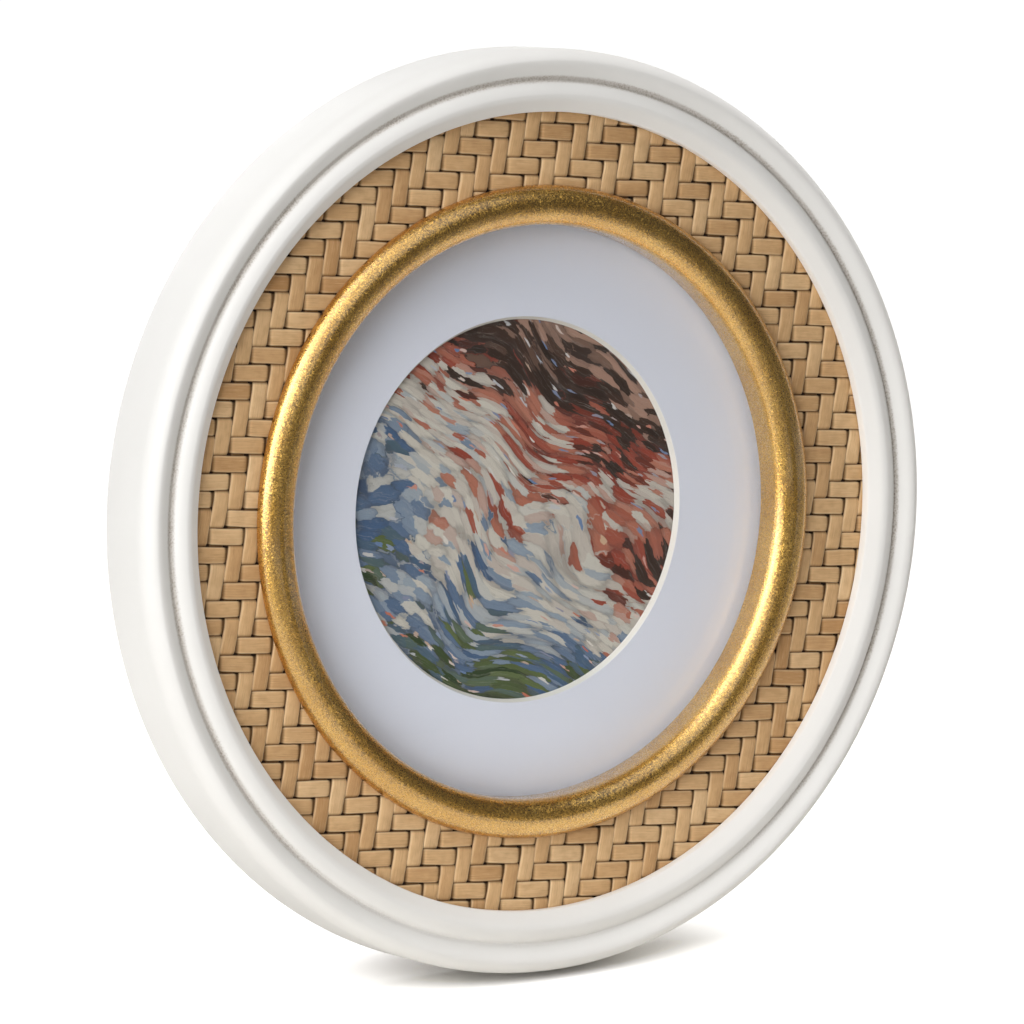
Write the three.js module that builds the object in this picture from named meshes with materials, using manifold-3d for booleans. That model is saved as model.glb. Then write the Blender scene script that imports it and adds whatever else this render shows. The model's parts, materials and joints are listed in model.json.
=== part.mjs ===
// Round picture frame: a white outer moulding, a band of woven rattan, a gold bead round the glass,
// and a backing board with an easel leg that the frame leans back on.
// Millimetres, +Z up. The picture faces -Y, and the frame stands on z = 0.
import * as THREE from 'three';
import { mergeVertices } from 'three/addons/utils/BufferGeometryUtils.js';
import Module from 'manifold-3d';

const wasm = await Module();
wasm.setup();

// Stance, in degrees
const LEAN = 8;
const LEG_OPENING = 16;

// Clearance between pieces that seat on or in each other
const FIT = 0.3;

// Front widths, from the sight edge of the gold bead outwards
const SIGHT_RADIUS = 71.3;
const GOLD_WIDTH = 9.9;
const BAND_WIDTH = 18;
const INNER_BEAD_WIDTH = 7.4;
const GROOVE_WIDTH = 0.8;
const BULLNOSE_WIDTH = 7.6;

// Depths of the back and of the picture stack, from the back plane to the front
const BACK_RECESS = 0.4;
const BACKING_THICKNESS = 2.5;
const FILLER_THICKNESS = 0.8;
const PRINT_THICKNESS = 0.3;
const MAT_THICKNESS = 1.4;
const GLASS_THICKNESS = 2;
const CORE_THICKNESS = 12.4;

// Picture stack, across
const GLASS_LAP = 4.7;
const WINDOW_RADIUS = 47.4;

// White moulding: heights over the lip's arris, and the wall round the core
const LIP_HEIGHT = 2.6;
const INNER_BEAD_RISE = 2.6;
const INNER_BEAD_CREST = 4.2;
const GROOVE_RISE = 1;
const BULLNOSE_RISE = 2.9;
const BULLNOSE_CREST = 4.4;
const SHOULDER_DROP = 5.4;
const WALL_THICKNESS = 7;

// Gold bead
const GOLD_RISE = 3.7;

// Woven rattan: 2/2 twill of flat strips on a thin sheet
const WARP_PITCH = 4.69;
const WEFT_PITCH = 4.38;
const WEAVE_TURN = 5.3;
const STRIP_GAP = 0.26;
const STRIP_CROWN = 0.3;
const STRIP_DIVE = 0.75;
const FLOAT_HEIGHT = 0.7;
const SHEET_THICKNESS = 0.8;
const FLOAT_ROOT = 0.2;
const TWILL_REPEAT = 4;
const TWILL_OVER = 2;

// Turn buttons and their screws
const BUTTON_COUNT = 4;
const BUTTON_OFFSET = 8;
const BUTTON_WIDTH = 9;
const BUTTON_REACH = 14;
const BUTTON_THICKNESS = 1;
const SCREW_RADIUS = 1.5;
const SCREW_HEAD_RADIUS = 3.3;
const SCREW_HEAD_HEIGHT = 1.5;
const SCREW_LENGTH = 9;

// Easel hinge
const HINGE_HEIGHT = 38;
const HINGE_WIDTH = 26;
const MIDDLE_KNUCKLE = 10;
const PIN_RADIUS = 1;
const BARREL_RADIUS = 2.4;
const LEAF_THICKNESS = 0.9;
const FIXED_LEAF_LENGTH = 16;
const MOVING_LEAF_LENGTH = 24;
const RIVET_SPACING = 17;
const RIVET_EDGE = 5;
const RIVET_RADIUS = 1.3;
const RIVET_HEAD_RADIUS = 2.5;
const RIVET_HEAD_HEIGHT = 0.9;

// Easel leg
const LEG_THICKNESS = 3;
const LEG_TOP_WIDTH = 30;
const LEG_FOOT_WIDTH = 54;
const LEG_CORNER = 9;

// Finger notch in the backing board
const NOTCH_RADIUS = 8;

// Sawtooth hanger and its nails
const HANGER_WIDTH = 46;
const HANGER_HEIGHT = 9;
const HANGER_THICKNESS = 0.9;
const HANGER_FOOT = 9;
const HANGER_STEP = 1.8;
const HANGER_BEND = 2;
const TOOTH_PITCH = 3;
const TOOTH_DEPTH = 2.4;
const NAIL_RADIUS = 0.9;
const NAIL_HEAD_RADIUS = 2.1;
const NAIL_HEAD_HEIGHT = 0.7;
const NAIL_LENGTH = 9;

// Facets of a full turn
const RING_SIDES = 60;
const ROUND_SIDES = 10;
const ARC_STEPS = 4;
const GROOVE_STEPS = 3;
const DOME_STEPS = 2;

// Radii that follow from the front widths
const GOLD_RADIUS = SIGHT_RADIUS + GOLD_WIDTH;
const LIP_RADIUS = GOLD_RADIUS + BAND_WIDTH;
const GROOVE_RADIUS = LIP_RADIUS + INNER_BEAD_WIDTH;
const OUTER_RADIUS = GROOVE_RADIUS + GROOVE_WIDTH + BULLNOSE_WIDTH;
const RABBET_RADIUS = OUTER_RADIUS - WALL_THICKNESS;
const PICTURE_RADIUS = SIGHT_RADIUS + GLASS_LAP;
const BORE_RADIUS = PICTURE_RADIUS + FIT;
const SLEEVE_RADIUS = BORE_RADIUS - FIT;

// Heights over the back plane that follow from the stack
const BACKING_FRONT = BACK_RECESS + BACKING_THICKNESS;
const FILLER_BACK = BACKING_FRONT + FIT;
const PRINT_BACK = FILLER_BACK + FILLER_THICKNESS + FIT;
const MAT_BACK = PRINT_BACK + PRINT_THICKNESS + FIT;
const GLASS_BACK = MAT_BACK + MAT_THICKNESS + FIT;
const SLEEVE_BACK = GLASS_BACK + GLASS_THICKNESS + FIT;
const SHEET_BACK = CORE_THICKNESS + FIT;
const SHEET_FRONT = SHEET_BACK + SHEET_THICKNESS;
const WEAVE_FRONT = SHEET_FRONT + FLOAT_HEIGHT;
const OVERLAY_BACK = WEAVE_FRONT + FIT;
const ARRIS = OVERLAY_BACK + LIP_HEIGHT;

// The lowest facet of the rim lies flat, so the frame stands on its rear edge
const STAND_RADIUS = OUTER_RADIUS * Math.cos(Math.PI / RING_SIDES);
const HALF_FACET = Math.PI / RING_SIDES;

// Places on the back
const BUTTON_RADIUS = PICTURE_RADIUS + BUTTON_OFFSET;
const HANGER_Z = (BORE_RADIUS + RABBET_RADIUS) / 2;
const HINGE_BACK = BARREL_RADIUS + FIT - BACK_RECESS;

const radians = THREE.MathUtils.degToRad;
const point = (x, y) => new THREE.Vector2(x, y);

const finish = (color, roughness, metalness = 0) =>
  new THREE.MeshStandardMaterial({ color, roughness, metalness });

const FINISHES = {
  whitePaint: () => finish('#f3f1ec', 0.45),
  rattan: () => finish('#c79f6c', 0.6),
  goldLeaf: () => finish('#c9a24a', 0.35, 0.9),
  fibreboard: () => finish('#8d6b48', 0.85),
  clearGlass: () => finish('#eef4f4', 0.05),
  matBoard: () => finish('#e4e2e6', 0.9),
  printPaper: () => finish('#7d7a86', 0.6),
  greyBoard: () => finish('#a39d92', 0.9),
  blackBoard: () => finish('#262422', 0.85),
  steel: () => finish('#b9b9b6', 0.35, 0.9),
};

const mesh = (name, geometry, material) => {
  const piece = new THREE.Mesh(geometry, material());
  piece.name = name;
  return piece;
};

// A closed mesh as a solid for cutting and joining, and back again
const toSolid = (geometry) => {
  const bare = geometry.clone();
  bare.deleteAttribute('normal');
  bare.deleteAttribute('uv');
  const merged = mergeVertices(bare);
  return new wasm.Manifold(new wasm.Mesh({
    numProp: 3,
    vertProperties: new Float32Array(merged.attributes.position.array),
    triVerts: new Uint32Array(merged.index.array),
  }));
};

const toGeometry = (solid) => {
  const { vertProperties, triVerts } = solid.getMesh();
  const geometry = new THREE.BufferGeometry();
  geometry.setAttribute('position', new THREE.BufferAttribute(vertProperties, 3));
  geometry.setIndex(new THREE.BufferAttribute(triVerts, 1));
  return geometry;
};

const cut = (geometry, ...tools) =>
  toGeometry(tools.reduce((solid, tool) => solid.subtract(toSolid(tool)), toSolid(geometry)));

const join = (...geometries) => toGeometry(wasm.Manifold.union(geometries.map(toSolid)));

// Points round an ellipse, from one angle to another
const ellipseArc = (centre, semiX, semiY, start, end, steps = ARC_STEPS) =>
  Array.from({ length: steps + 1 }, (_, i) => {
    const angle = radians(start + ((end - start) * i) / steps);
    return point(centre.x + semiX * Math.cos(angle), centre.y + semiY * Math.sin(angle));
  });

const circle = (radius, sides, centre = point(0, 0)) =>
  Array.from({ length: sides }, (_, i) => {
    const angle = (2 * Math.PI * (i + 0.5)) / sides - Math.PI / 2;
    return point(centre.x + radius * Math.cos(angle), centre.y + radius * Math.sin(angle));
  });

// A ring turned round the frame's axis from points of radius and height over the back plane
const turnedRing = (section) => {
  const profile = section.map(({ x, y }) => point(x, -y));
  if (THREE.ShapeUtils.isClockWise(profile)) profile.reverse();
  return new THREE.LatheGeometry([...profile, profile[0]], RING_SIDES, HALF_FACET);
};

const disc = (radius, back, thickness) =>
  new THREE.CylinderGeometry(radius, radius, thickness, RING_SIDES, 1, false, HALF_FACET)
    .translate(0, -back - thickness / 2, 0);

// A flat plate seen from the front as outline, with its back at a height over the back plane
const plate = (outline, holes, back, thickness) => {
  const shape = new THREE.Shape(outline);
  shape.holes = holes.map((hole) => new THREE.Path(hole));
  return new THREE.ExtrudeGeometry(shape, { depth: thickness, bevelEnabled: false })
    .rotateX(Math.PI / 2)
    .translate(0, -back, 0);
};

// A screw, nail or rivet along Y: its head is domed towards +Y and starts at y = 0
const fastener = (shankRadius, length, headRadius, headHeight) => {
  const dome = ellipseArc(point(0, 0), headRadius, headHeight, 0, 90, DOME_STEPS);
  const profile = [point(0, -length), point(shankRadius, -length), point(shankRadius, 0), ...dome];
  return new THREE.LatheGeometry(profile, ROUND_SIDES);
};

// White moulding: inner bead, groove and bullnose over a plain outer wall, with a rabbet behind the lip
const outerMoulding = () => {
  const beadCrest = LIP_RADIUS + INNER_BEAD_CREST;
  const noseStart = GROOVE_RADIUS + GROOVE_WIDTH;
  const noseCrest = noseStart + BULLNOSE_CREST;
  const groove = ARRIS + GROOVE_RISE;
  const shoulder = ARRIS + BULLNOSE_RISE - SHOULDER_DROP;
  const noseRise = BULLNOSE_RISE - GROOVE_RISE;
  const beadBack = GROOVE_RADIUS - beadCrest;
  const beadFall = INNER_BEAD_RISE - GROOVE_RISE;
  return turnedRing([
    point(RABBET_RADIUS, 0),
    point(RABBET_RADIUS, OVERLAY_BACK),
    point(LIP_RADIUS, OVERLAY_BACK),
    ...ellipseArc(point(beadCrest, ARRIS), INNER_BEAD_CREST, INNER_BEAD_RISE, 180, 90),
    ...ellipseArc(point(beadCrest, groove), beadBack, beadFall, 90, 0, GROOVE_STEPS).slice(1),
    ...ellipseArc(point(noseCrest, groove), BULLNOSE_CREST, noseRise, 180, 90, GROOVE_STEPS),
    ...ellipseArc(point(noseCrest, shoulder), OUTER_RADIUS - noseCrest, SHOULDER_DROP, 90, 0).slice(1),
    point(OUTER_RADIUS, 0),
  ]);
};

// Gold bead with a sleeve through the core's bore, whose end holds the glass
const goldBead = () => {
  const middle = point(SIGHT_RADIUS + GOLD_WIDTH / 2, OVERLAY_BACK);
  return turnedRing([
    ...ellipseArc(middle, GOLD_WIDTH / 2, GOLD_RISE, 0, 180, 2 * ARC_STEPS),
    point(SIGHT_RADIUS, SLEEVE_BACK),
    point(SLEEVE_RADIUS, SLEEVE_BACK),
    point(SLEEVE_RADIUS, OVERLAY_BACK),
  ]);
};

// One float of a strip: a block whose sides are crowned and whose ends dive under the next strips
const float = (across, along) => {
  const height = FLOAT_HEIGHT + FLOAT_ROOT;
  const block = new THREE.BoxGeometry(across - STRIP_GAP, along - STRIP_GAP, height);
  const position = block.attributes.position;
  for (let i = 0; i < position.count; i += 1) {
    if (position.getZ(i) > 0) {
      position.setX(i, position.getX(i) - Math.sign(position.getX(i)) * STRIP_CROWN);
      position.setY(i, position.getY(i) - Math.sign(position.getY(i)) * STRIP_DIVE);
    }
  }
  return block.translate(0, 0, height / 2 - FLOAT_ROOT);
};

// Every float that shows between the gold bead and the lip, seen from the front with x and y in the plane
const weaveFloats = () => {
  const reach = Math.ceil(OUTER_RADIUS / Math.min(WARP_PITCH, WEFT_PITCH));
  const upright = float(WARP_PITCH, TWILL_OVER * WEFT_PITCH);
  const level = float(WEFT_PITCH, TWILL_OVER * WARP_PITCH).rotateZ(Math.PI / 2);
  const floats = [];
  const place = (block, x, y) => {
    const moved = block.clone().translate(x, y, 0);
    moved.computeBoundingBox();
    const { min, max } = moved.boundingBox;
    const farthest = Math.hypot(Math.max(-min.x, max.x), Math.max(-min.y, max.y));
    const nearest = Math.hypot(Math.max(min.x, -max.x, 0), Math.max(min.y, -max.y, 0));
    if (farthest > GOLD_RADIUS && nearest < LIP_RADIUS) {
      floats.push(moved.rotateZ(radians(-WEAVE_TURN)));
    }
  };
  for (let column = -reach; column <= reach; column += 1) {
    for (let row = -reach; row <= reach; row += 1) {
      const phase = THREE.MathUtils.euclideanModulo(column - row, TWILL_REPEAT);
      if (phase === 0) place(upright, (column + 0.5) * WARP_PITCH, row * WEFT_PITCH);
      if (phase === TWILL_OVER + 1) place(level, column * WARP_PITCH, (row + 0.5) * WEFT_PITCH);
    }
  }
  return floats;
};

// Rattan panel: the floats trimmed to the band and fused to the sheet that carries them
const wovenPanel = () => {
  const panelRadius = RABBET_RADIUS - FIT;
  const sheet = plate(circle(panelRadius, RING_SIDES), [circle(BORE_RADIUS, RING_SIDES)],
    SHEET_BACK, SHEET_THICKNESS);
  const trim = plate(circle(panelRadius - FIT, RING_SIDES), [circle(BORE_RADIUS + FIT, RING_SIDES)],
    SHEET_BACK + FIT, SHEET_THICKNESS + FLOAT_HEIGHT);
  const floats = weaveFloats().map((block) =>
    toSolid(block.rotateX(Math.PI / 2).translate(0, -SHEET_FRONT, 0)));
  const trimmed = wasm.Manifold.union(floats).intersect(toSolid(trim));
  return toGeometry(toSolid(sheet).add(trimmed));
};

// Places of the fasteners on the back, seen from the front
const buttonAngle = (index) => (2 * Math.PI * (index + 0.5)) / BUTTON_COUNT;
const buttonPlace = (index) =>
  point(BUTTON_RADIUS * Math.cos(buttonAngle(index)), BUTTON_RADIUS * Math.sin(buttonAngle(index)));
const buttonIndices = Array.from({ length: BUTTON_COUNT }, (_, index) => index);
const sides = [-1, 1];
const nailPlace = (side) => point((side * (HANGER_WIDTH - HANGER_FOOT)) / 2, HANGER_Z);
const fixedRivet = (side) => point((side * RIVET_SPACING) / 2, FIXED_LEAF_LENGTH - RIVET_EDGE);
const movingRivet = (side) => point((side * RIVET_SPACING) / 2, RIVET_EDGE - MOVING_LEAF_LENGTH);

const coreRing = () => {
  const holes = [
    circle(BORE_RADIUS, RING_SIDES),
    ...buttonIndices.map((index) => circle(SCREW_RADIUS + FIT, ROUND_SIDES, buttonPlace(index))),
    ...sides.map((side) => circle(NAIL_RADIUS + FIT, ROUND_SIDES, nailPlace(side))),
  ];
  return plate(circle(RABBET_RADIUS - FIT, RING_SIDES), holes, 0, CORE_THICKNESS);
};

// Mat with a bevelled round window that opens towards the glass
const matBoard = () => turnedRing([
  point(WINDOW_RADIUS, MAT_BACK),
  point(WINDOW_RADIUS + MAT_THICKNESS, MAT_BACK + MAT_THICKNESS),
  point(PICTURE_RADIUS, MAT_BACK + MAT_THICKNESS),
  point(PICTURE_RADIUS, MAT_BACK),
]);

const backingBoard = () => {
  const holes = sides.map((side) =>
    circle(RIVET_RADIUS + FIT, ROUND_SIDES, fixedRivet(side).add(point(0, HINGE_HEIGHT))));
  const board = plate(circle(PICTURE_RADIUS, RING_SIDES), holes, BACK_RECESS, BACKING_THICKNESS);
  const notch = new THREE.CylinderGeometry(NOTCH_RADIUS, NOTCH_RADIUS, CORE_THICKNESS, 2 * ROUND_SIDES)
    .translate(0, 0, PICTURE_RADIUS);
  return cut(board, notch);
};

// Turn button: a flat tab with a round end on its screw and a round tip over the backing board
const turnButton = () => {
  const end = BUTTON_WIDTH / 2;
  const tip = point(BUTTON_REACH - end, 0);
  const outline = [...ellipseArc(point(0, 0), end, end, 90, 270), ...ellipseArc(tip, end, end, -90, 90)];
  return plate(outline, [circle(SCREW_RADIUS + FIT, ROUND_SIDES)], -FIT - BUTTON_THICKNESS, BUTTON_THICKNESS);
};

const turnButtons = () => buttonIndices.flatMap((index) => {
  const place = buttonPlace(index);
  const button = mesh(`turn_button_${index + 1}`, turnButton(), FINISHES.steel);
  button.position.set(place.x, 0, place.y);
  button.rotation.y = -buttonAngle(index) - Math.PI;
  const screw = mesh(`turn_button_screw_${index + 1}`,
    fastener(SCREW_RADIUS, SCREW_LENGTH, SCREW_HEAD_RADIUS, SCREW_HEAD_HEIGHT), FINISHES.steel);
  screw.position.set(place.x, BUTTON_THICKNESS + 2 * FIT, place.y);
  return [button, screw];
});

// Sawtooth hanger: a strip with flat feet, stepped off the back between them, and teeth along its lower edge
const sawtoothHanger = () => {
  const half = HANGER_WIDTH / 2;
  const foot = half - HANGER_FOOT;
  const rear = [
    point(-half, 0),
    point(-foot, 0),
    point(-foot + HANGER_BEND, HANGER_STEP),
    point(foot - HANGER_BEND, HANGER_STEP),
    point(foot, 0),
    point(half, 0),
  ];
  const outline = [...rear, ...rear.map(({ x, y }) => point(x, y + HANGER_THICKNESS)).reverse()];
  const section = new THREE.Shape(outline);
  const strip = new THREE.ExtrudeGeometry(section, { depth: HANGER_HEIGHT, bevelEnabled: false })
    .translate(0, FIT, HANGER_Z - HANGER_HEIGHT / 2);
  const toothed = foot - HANGER_BEND - TOOTH_PITCH / 2;
  const teeth = Math.floor((2 * toothed) / TOOTH_PITCH);
  const lower = HANGER_Z - HANGER_HEIGHT / 2;
  const notches = Array.from({ length: teeth }, (_, i) => {
    const middle = (i - (teeth - 1) / 2) * TOOTH_PITCH;
    const notch = [
      point(middle - TOOTH_PITCH / 2, lower - TOOTH_DEPTH / 2),
      point(middle + TOOTH_PITCH / 2, lower - TOOTH_DEPTH / 2),
      point(middle, lower + TOOTH_DEPTH),
    ];
    return plate(notch, [], -CORE_THICKNESS, CORE_THICKNESS);
  });
  const holes = sides.map((side) =>
    plate(circle(NAIL_RADIUS + FIT, ROUND_SIDES, nailPlace(side)), [], -CORE_THICKNESS, CORE_THICKNESS));
  return cut(strip, ...notches, ...holes);
};

const hangerNails = () => sides.map((side, index) => {
  const nail = mesh(`hanger_nail_${index + 1}`,
    fastener(NAIL_RADIUS, NAIL_LENGTH, NAIL_HEAD_RADIUS, NAIL_HEAD_HEIGHT), FINISHES.steel);
  nail.position.set(nailPlace(side).x, HANGER_THICKNESS + 2 * FIT, nailPlace(side).y);
  return nail;
});

// Hinge pieces lie round the pin, along X at the origin; the leaves lie against the board and the leg
const knuckle = (length, middle) => {
  const shape = new THREE.Shape(circle(BARREL_RADIUS, ROUND_SIDES));
  shape.holes = [new THREE.Path(circle(PIN_RADIUS + FIT, ROUND_SIDES))];
  return new THREE.ExtrudeGeometry(shape, { depth: length, bevelEnabled: false })
    .translate(0, 0, middle - length / 2)
    .rotateY(Math.PI / 2);
};

const KNUCKLE_ROOM = BARREL_RADIUS + FIT;
const LEAF_INSIDE = BARREL_RADIUS - LEAF_THICKNESS;
const OUTER_KNUCKLE = (HINGE_WIDTH - MIDDLE_KNUCKLE) / 2 - FIT;
const OUTER_KNUCKLE_X = (HINGE_WIDTH - OUTER_KNUCKLE) / 2;

// The stop lies on the fixed leaf when the leg is open
const STOP_LENGTH = (LEAF_INSIDE * Math.cos(radians(LEG_OPENING)) + LEAF_INSIDE - FIT)
  / Math.sin(radians(LEG_OPENING));

const fixedLeaf = () => {
  const half = HINGE_WIDTH / 2;
  const slot = MIDDLE_KNUCKLE / 2 + FIT;
  const outline = [
    point(-half, 0),
    point(-slot, 0),
    point(-slot, KNUCKLE_ROOM),
    point(slot, KNUCKLE_ROOM),
    point(slot, 0),
    point(half, 0),
    point(half, FIXED_LEAF_LENGTH),
    point(-half, FIXED_LEAF_LENGTH),
  ];
  const holes = sides.map((side) => circle(RIVET_RADIUS + FIT, ROUND_SIDES, fixedRivet(side)));
  const leaf = plate(outline, holes, LEAF_INSIDE, LEAF_THICKNESS);
  return join(leaf, ...sides.map((side) => knuckle(OUTER_KNUCKLE, side * OUTER_KNUCKLE_X)));
};

const movingLeaf = () => {
  const half = HINGE_WIDTH / 2;
  const tab = MIDDLE_KNUCKLE / 2;
  const outline = [
    point(-half, -MOVING_LEAF_LENGTH),
    point(half, -MOVING_LEAF_LENGTH),
    point(half, -KNUCKLE_ROOM),
    point(tab, -KNUCKLE_ROOM),
    point(tab, STOP_LENGTH),
    point(-tab, STOP_LENGTH),
    point(-tab, -KNUCKLE_ROOM),
    point(-half, -KNUCKLE_ROOM),
  ];
  const holes = sides.map((side) => circle(RIVET_RADIUS + FIT, ROUND_SIDES, movingRivet(side)));
  return join(plate(outline, holes, -BARREL_RADIUS, LEAF_THICKNESS), knuckle(MIDDLE_KNUCKLE, 0));
};

const hingePin = () =>
  new THREE.CylinderGeometry(PIN_RADIUS, PIN_RADIUS, HINGE_WIDTH, ROUND_SIDES).rotateZ(Math.PI / 2);

// The leg widens towards its foot, which is cut to lie flat on the table when the leg is open
const easelLeg = () => {
  const lean = radians(LEAN);
  const opening = radians(LEG_OPENING);
  const length = (HINGE_HEIGHT + STAND_RADIUS - HINGE_BACK * Math.tan(lean))
    / (Math.cos(opening) + Math.sin(opening) * Math.tan(lean));
  const top = LEG_TOP_WIDTH / 2;
  const foot = LEG_FOOT_WIDTH / 2;
  const below = -length - LEG_THICKNESS;
  const outline = new THREE.Shape()
    .moveTo(-top, -KNUCKLE_ROOM)
    .lineTo(-foot, LEG_CORNER - length)
    .quadraticCurveTo(-foot, -length, LEG_CORNER - foot, below)
    .lineTo(foot - LEG_CORNER, below)
    .quadraticCurveTo(foot, -length, foot, LEG_CORNER - length)
    .lineTo(top, -KNUCKLE_ROOM)
    .extractPoints(ARC_STEPS).shape;
  const holes = sides.map((side) => circle(RIVET_RADIUS + FIT, ROUND_SIDES, movingRivet(side)));
  const leg = plate(outline, holes, FIT - LEAF_INSIDE, LEG_THICKNESS);
  const table = new THREE.BoxGeometry(OUTER_RADIUS, OUTER_RADIUS, OUTER_RADIUS)
    .translate(0, 0, -OUTER_RADIUS / 2)
    .rotateX(lean - opening)
    .translate(0, 0, -length);
  return cut(leg, table);
};

const rivets = (name, place, headBack, length) => sides.map((side, index) => {
  const rivet = mesh(`${name}_${index + 1}`,
    fastener(RIVET_RADIUS, length, RIVET_HEAD_RADIUS, RIVET_HEAD_HEIGHT), FINISHES.steel);
  rivet.position.set(place(side).x, headBack, place(side).y);
  return rivet;
});

const fixedHinge = () => {
  const group = new THREE.Group();
  const headBack = FIT - LEAF_INSIDE;
  group.add(
    mesh('hinge_fixed_leaf', fixedLeaf(), FINISHES.steel),
    mesh('hinge_pin', hingePin(), FINISHES.steel),
    ...rivets('board_rivet', fixedRivet, headBack, LEAF_THICKNESS + BACKING_THICKNESS + 2 * FIT),
  );
  group.position.set(0, HINGE_BACK, HINGE_HEIGHT);
  return group;
};

const easel = () => {
  const group = new THREE.Group();
  const headBack = BARREL_RADIUS + FIT;
  group.add(
    mesh('hinge_moving_leaf', movingLeaf(), FINISHES.steel),
    mesh('easel_leg', easelLeg(), FINISHES.blackBoard),
    ...rivets('leg_rivet', movingRivet, headBack, LEAF_THICKNESS + LEG_THICKNESS + 2 * FIT),
  );
  group.position.set(0, HINGE_BACK, HINGE_HEIGHT);
  group.rotation.x = radians(LEG_OPENING);
  return group;
};

const frontPieces = () => [
  mesh('outer_moulding', outerMoulding(), FINISHES.whitePaint),
  mesh('woven_rattan_panel', wovenPanel(), FINISHES.rattan),
  mesh('core_ring', coreRing(), FINISHES.fibreboard),
  mesh('gold_bead', goldBead(), FINISHES.goldLeaf),
];

const pictureStack = () => [
  mesh('glass', disc(PICTURE_RADIUS, GLASS_BACK, GLASS_THICKNESS), FINISHES.clearGlass),
  mesh('mat_board', matBoard(), FINISHES.matBoard),
  mesh('picture_print', disc(PICTURE_RADIUS, PRINT_BACK, PRINT_THICKNESS), FINISHES.printPaper),
  mesh('filler_card', disc(PICTURE_RADIUS, FILLER_BACK, FILLER_THICKNESS), FINISHES.greyBoard),
  mesh('backing_board', backingBoard(), FINISHES.blackBoard),
];

// The whole frame upright, then leaned back and stood with its box's bottom centre at the origin
const leaning = new THREE.Group();
leaning.add(
  ...frontPieces(),
  ...pictureStack(),
  ...turnButtons(),
  mesh('sawtooth_hanger', sawtoothHanger(), FINISHES.steel),
  ...hangerNails(),
  fixedHinge(),
  easel(),
);
leaning.rotation.x = -radians(LEAN);

const pictureFrame = new THREE.Group();
pictureFrame.add(leaning);
pictureFrame.updateMatrixWorld(true);
const box = new THREE.Box3().setFromObject(pictureFrame, true);
pictureFrame.position.set(-(box.min.x + box.max.x) / 2, -(box.min.y + box.max.y) / 2, -box.min.z);

export default pictureFrame;
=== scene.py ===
import json
import math
import random

import bmesh
import bpy
from mathutils import Matrix, Vector, noise


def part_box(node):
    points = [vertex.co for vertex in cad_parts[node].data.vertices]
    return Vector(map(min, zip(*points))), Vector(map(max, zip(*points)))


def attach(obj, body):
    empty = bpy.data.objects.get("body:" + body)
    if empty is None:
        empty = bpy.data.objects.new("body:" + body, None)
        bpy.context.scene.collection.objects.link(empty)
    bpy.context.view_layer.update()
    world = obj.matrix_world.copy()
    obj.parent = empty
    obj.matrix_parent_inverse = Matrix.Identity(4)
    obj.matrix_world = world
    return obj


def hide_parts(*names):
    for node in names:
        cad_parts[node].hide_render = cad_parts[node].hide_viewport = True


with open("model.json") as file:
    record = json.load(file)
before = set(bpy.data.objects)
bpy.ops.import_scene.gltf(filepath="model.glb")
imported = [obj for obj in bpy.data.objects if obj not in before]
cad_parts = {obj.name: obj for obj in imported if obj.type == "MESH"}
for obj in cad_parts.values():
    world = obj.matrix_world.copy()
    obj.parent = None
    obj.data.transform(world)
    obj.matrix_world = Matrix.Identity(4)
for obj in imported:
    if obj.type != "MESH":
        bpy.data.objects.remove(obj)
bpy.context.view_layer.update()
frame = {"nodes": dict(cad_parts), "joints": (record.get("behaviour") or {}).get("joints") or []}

# Round picture frame: white moulding, woven rattan band, gold bead, matted print behind glass,
# and an easel leg at the back. Pieces are built upright in millimetres, with x to the right,
# z up from the rings' centre and y = 0 at the back plane, then leaned back to where the CAD stands.
MM = 0.001
WEAVE_SEED = 11
SHARP_EDGE = math.radians(38)

# Front rings, as radii
SIGHT_RADIUS = 71.3
GOLD_RADIUS = 81.2
LIP_RADIUS = 99.2
BEAD_CREST_RADIUS = 102.8
GROOVE_RADIUS = 107.0
NOSE_START_RADIUS = 107.3
NOSE_CREST_RADIUS = 111.2
RABBET_RADIUS = 108.0
PICTURE_RADIUS = 76.0
BORE_RADIUS = 76.3
WINDOW_RADIUS = 47.4
MAT_BEVEL = 0.8

# Heights over the back plane
BACKING_BACK = 0.4
BACKING_THICKNESS = 2.5
PRINT_BACK = 4.3
PRINT_THICKNESS = 0.3
MAT_BACK = 4.9
MAT_THICKNESS = 1.4
SLEEVE_BACK = 8.9
CORE_THICKNESS = 12.4
SHEET_BACK = 12.7
OVERLAY_BACK = 14.5
ARRIS = 17.1
GROOVE_HEIGHT = 17.5
BEAD_CREST = 19.7
NOSE_CREST = 20.0
SHOULDER = 14.6
GOLD_CREST = 18.2

# Slopes of the white moulding's two waves, as shares of the way up
SLOPE_SHARES = (0, 0.03, 0.15, 0.3, 0.45, 0.6, 0.7, 0.78, 0.86, 0.93)
CREST_EASE = 0.7
CREST_DIP = 0.1
CREST_TURN = 8
GROOVE_ANGLE = 25

# Roundings of edges that the CAD leaves sharp
REAR_ROUND = 0.5
LIP_ROUND = 0.25
PLATE_ROUND = 0.18
BOARD_ROUND = 0.35

# Woven rattan: flat strips, two over and two under
WARP_PITCH = 4.69
WEFT_PITCH = 4.38
WEAVE_TURN = math.radians(5.3)
STRIP_GAP = 0.26
STRIP_THICKNESS = 0.55
FLOAT_TOP = 14.2
UNDER_TOP = 13.5
EDGE_DROP = 0.46
FLOAT_BULGE = 0.1
TURN_DOWN = 0.22
DIVE_PINCH = 0.12
UPRIGHT_SKEW = 0.45
STRIP_WANDER = 0.22
STRIP_TILT = 0.05
STRIP_SWELL = 0.05
STRIP_TONES = (0.25, 0.75)
FLOAT_TONES = (-0.28, 0.28)
WEAVE_INSIDE = 77.2
WEAVE_OUTSIDE = 105.0
TWILL_REPEAT = 4
STATION_MARGIN = 0.05

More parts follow.
